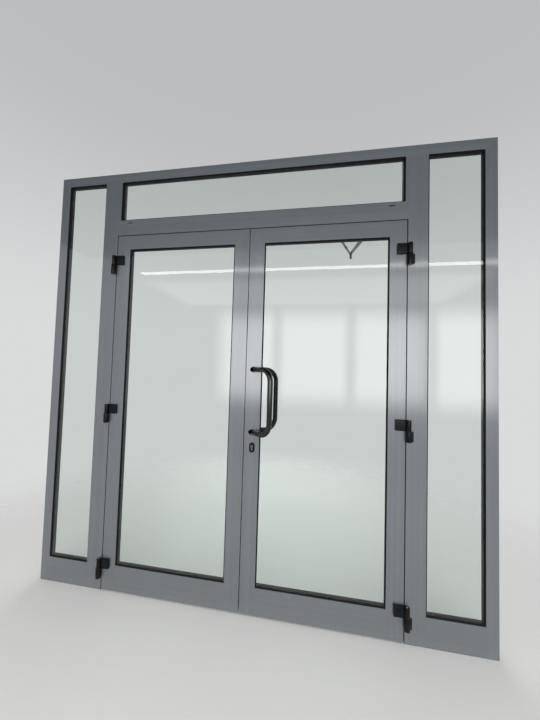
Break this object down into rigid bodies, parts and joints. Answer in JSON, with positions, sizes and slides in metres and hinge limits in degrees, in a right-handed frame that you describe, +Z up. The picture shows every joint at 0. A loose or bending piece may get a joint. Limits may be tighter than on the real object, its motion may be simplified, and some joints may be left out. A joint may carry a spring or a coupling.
{
  "type": "glass entrance door",
  "caption": "Glazed double-leaf entrance door in an aluminium frame with side lights, a top light, surface hinges, offset pull handles, a lock and an overhead closer.",
  "frame": {"origin": "on the finished floor, midway between the two leaves, in the outer face of the frame", "axes": "+Z up, +X to the right along the frame as seen from outside, +Y from outside into the building"},
  "size_m": [2.636, 0.4392, 2.642],
  "materials": {
    "profile": "satin basalt-grey powder coat",
    "bead": "satin black powder coat",
    "clear_glass": "clear safety glass with a slight green tint",
    "gasket": "matt black rubber",
    "brush": "black pile strip",
    "packer": "black plastic",
    "cleat": "mill finish",
    "hinge": "satin black",
    "hinge_pin": "ground steel",
    "handle": "gloss black",
    "bolt": "plated steel",
    "lock_steel": "brushed stainless steel",
    "rose": "satin black",
    "cylinder": "nickel-plated brass",
    "closer": "satin dark powder coat",
    "closer_arm": "satin dark powder coat"
  },
  "bodies": {
    "frame": {"head_bar": "profile", "transom_bar": "profile", "left_jamb": "profile", "right_jamb": "profile", "left_mullion": "profile", "right_mullion": "profile", "left_sill_rail": "profile", "right_sill_rail": "profile", "top_light_adapters": "profile", "frame_beads": "bead", "frame_gaskets": "gasket", "frame_setting_blocks": "packer", "left_side_glass": "clear_glass", "right_side_glass": "clear_glass", "top_glass": "clear_glass", "door_stop_seal": "gasket", "transom_strike_plate": "lock_steel", "left_frame_hinge_wings": "hinge", "right_frame_hinge_wings": "hinge", "hinge_pins": "hinge_pin", "closer_body": "closer"},
    "right_leaf": {"right_hinge_stile": "profile", "right_lock_stile": "profile", "right_top_rail": "profile", "right_bottom_rail": "profile", "right_leaf_glass": "clear_glass", "right_leaf_beads": "bead", "right_leaf_gaskets": "gasket", "right_leaf_setting_blocks": "packer", "right_leaf_cleats": "cleat", "right_bottom_brush": "brush", "right_leaf_hinge_wings": "hinge", "outer_handle": "handle", "inner_handle": "handle", "handle_bolts": "bolt", "lock_case": "lock_steel", "lock_faceplate": "lock_steel", "lock_roses": "rose", "cylinder_housing": "cylinder", "closer_shoe": "closer_arm"},
    "left_leaf": {"left_hinge_stile": "profile", "left_lock_stile": "profile", "left_top_rail": "profile", "left_bottom_rail": "profile", "left_leaf_glass": "clear_glass", "left_leaf_beads": "bead", "left_leaf_gaskets": "gasket", "left_leaf_setting_blocks": "packer", "left_leaf_cleats": "cleat", "left_bottom_brush": "brush", "left_leaf_hinge_wings": "hinge", "meeting_seal": "gasket", "strike_plate": "lock_steel", "flush_bolt_plates": "lock_steel"},
    "closer_main_arm": {"closer_main_arm": "closer_arm"},
    "closer_forearm": {"closer_forearm": "closer_arm"},
    "cylinder_plug": {"cylinder_plug": "cylinder"},
    "deadbolt": {"deadbolt": "lock_steel"},
    "upper_flush_bolt": {"upper_flush_bolt": "lock_steel"},
    "lower_flush_bolt": {"lower_flush_bolt": "lock_steel"}
  },
  "joints": [
    {"name": "right_leaf_hinge", "type": "hinge", "parent": "frame", "child": "right_leaf", "pos_m": [0.89, -0.014, 1.0895], "axis": [0, 0, 1], "range_deg": [0, 100], "stiffness_Nm_per_rad": 5, "springref_deg": -11.46},
    {"name": "left_leaf_hinge", "type": "hinge", "parent": "frame", "child": "left_leaf", "pos_m": [-0.89, -0.014, 1.0895], "axis": [0, 0, -1], "range_deg": [0, 110]},
    {"name": "closer_spindle", "type": "hinge", "parent": "frame", "child": "closer_main_arm", "pos_m": [0.672, 0.072, 2.1875], "axis": [0, 0, 1], "range_deg": [0, 173]},
    {"name": "closer_shoe_pin", "type": "hinge", "parent": "right_leaf", "child": "closer_forearm", "pos_m": [0.52014, 0.06426, 2.18], "axis": [0, 0, 1], "range_deg": [-37, 0]},
    {"name": "key_turn", "type": "hinge", "parent": "right_leaf", "child": "cylinder_plug", "pos_m": [0.05, 0.0225, 0.946], "axis": [0, -1, 0], "range_deg": [0, 360]},
    {"name": "deadbolt_slide", "type": "slide", "parent": "right_leaf", "child": "deadbolt", "axis": [-1, 0, 0], "range_m": [0, 0.02]},
    {"name": "upper_flush_bolt_slide", "type": "slide", "parent": "left_leaf", "child": "upper_flush_bolt", "axis": [0, 0, 1], "range_m": [0, 0.02]},
    {"name": "lower_flush_bolt_slide", "type": "slide", "parent": "left_leaf", "child": "lower_flush_bolt", "axis": [0, 0, -1], "range_m": [0, 0.02]}
  ],
  "couplings": [
    {"joint": "closer_spindle", "follows": "right_leaf_hinge", "ratio": 1.7228},
    {"joint": "closer_shoe_pin", "follows": "right_leaf_hinge", "ratio": -0.36721},
    {"joint": "key_turn", "follows": "deadbolt_slide", "rad_per_m": 314.16}
  ]
}
